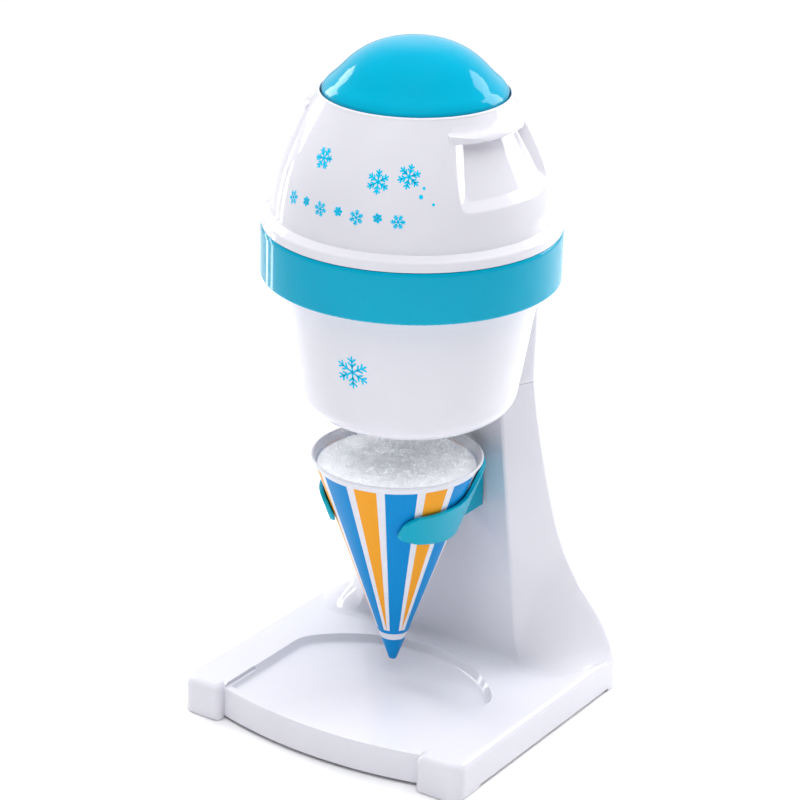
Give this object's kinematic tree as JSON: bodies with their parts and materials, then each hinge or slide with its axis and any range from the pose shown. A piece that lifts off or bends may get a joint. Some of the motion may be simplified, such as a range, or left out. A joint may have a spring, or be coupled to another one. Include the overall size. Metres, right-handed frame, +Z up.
{
  "type": "shaved ice machine",
  "caption": "Table-top shaved ice machine: a press-cap motor head on an ice bowl with a clear chute, over a paper cone held above a drip tray.",
  "frame": {"origin": "on the bowl's axis at the surface the feet stand on, the bottom centre of the bounding box", "axes": "+Z up, -Y towards the user who takes the cone, +X to the right seen from the front"},
  "size_m": [0.1734, 0.1668, 0.3617],
  "materials": {
    "white_plastic": "glossy moulded",
    "turquoise_plastic": "glossy moulded",
    "clear_plastic": "clear glossy",
    "nylon": "satin",
    "black_plastic": "satin",
    "red_plastic": "satin",
    "rubber": "matte",
    "steel": "brushed",
    "zinc_steel": "zinc plated",
    "ferrite": "sintered",
    "bronze": "machined",
    "paper": "printed, waxed inside",
    "ice": "wet crushed ice"
  },
  "bodies": {
    "stand": {"stand_shell": "white_plastic", "base_plate": "white_plastic", "rubber_feet": "rubber", "base_screws": "steel", "upper_housing": "white_plastic", "neck_screws": "steel", "collar_ring": "turquoise_plastic", "ice_hopper": "white_plastic", "blade_plate": "steel", "blade": "steel", "blade_screws": "steel", "plate_screws": "steel", "chute": "clear_plastic", "cone_holder": "turquoise_plastic", "holder_screws": "steel"},
    "cup": {"paper_cone": "paper", "shaved_ice": "ice"},
    "head": {"head_shell": "white_plastic", "head_floor": "white_plastic", "head_screws": "steel", "shaft_bush": "bronze", "cord_gland": "rubber", "gearbox_housing": "nylon", "gearbox_cover": "nylon", "gearbox_screws": "steel", "idler_pin": "steel", "motor_can": "zinc_steel", "motor_end_cap": "black_plastic", "motor_magnets": "ferrite", "motor_screws": "steel", "switch_bracket": "steel", "bracket_screws": "steel", "switch_body": "black_plastic", "switch_screws": "steel", "cap_springs": "steel"},
    "cap": {"push_cap": "turquoise_plastic"},
    "plunger": {"switch_plunger": "red_plastic"},
    "drive": {"drive_gear": "nylon", "drive_shaft": "steel", "impeller": "nylon", "impeller_nut": "steel"},
    "idler": {"idler_gear": "nylon"},
    "rotor": {"motor_shaft": "steel", "motor_pinion": "bronze", "motor_armature": "steel", "motor_commutator": "bronze"}
  },
  "joints": [
    {"name": "cup_lift", "type": "slide", "parent": "stand", "child": "cup", "axis": [0, 0, 1], "range_m": [0, 0.0025]},
    {"name": "head_lift", "type": "slide", "parent": "stand", "child": "head", "axis": [0, 0, 1], "range_m": [0, 0.14]},
    {"name": "cap_press", "type": "slide", "parent": "head", "child": "cap", "axis": [0, 0, -1], "range_m": [0, 0.004], "stiffness_N_per_m": 900, "springref_m": -0.005, "deforming": ["cap_springs"]},
    {"name": "plunger_press", "type": "slide", "parent": "head", "child": "plunger", "axis": [0, 0, -1], "range_m": [0, 0.004]},
    {"name": "impeller_spin", "type": "hinge", "parent": "head", "child": "drive", "pos_m": [0, 0, 0.27], "axis": [0, 0, 1], "continuous": true},
    {"name": "idler_spin", "type": "hinge", "parent": "head", "child": "idler", "pos_m": [0, 0.0375, 0.28], "axis": [0, 0, 1], "continuous": true},
    {"name": "motor_spin", "type": "hinge", "parent": "head", "child": "rotor", "pos_m": [0, 0.01125, 0.3], "axis": [0, 0, 1], "continuous": true}
  ],
  "couplings": [
    {"joint": "plunger_press", "follows": "cap_press", "ratio": 1},
    {"joint": "idler_spin", "follows": "impeller_spin", "ratio": -4},
    {"joint": "motor_spin", "follows": "impeller_spin", "ratio": 12.8}
  ]
}
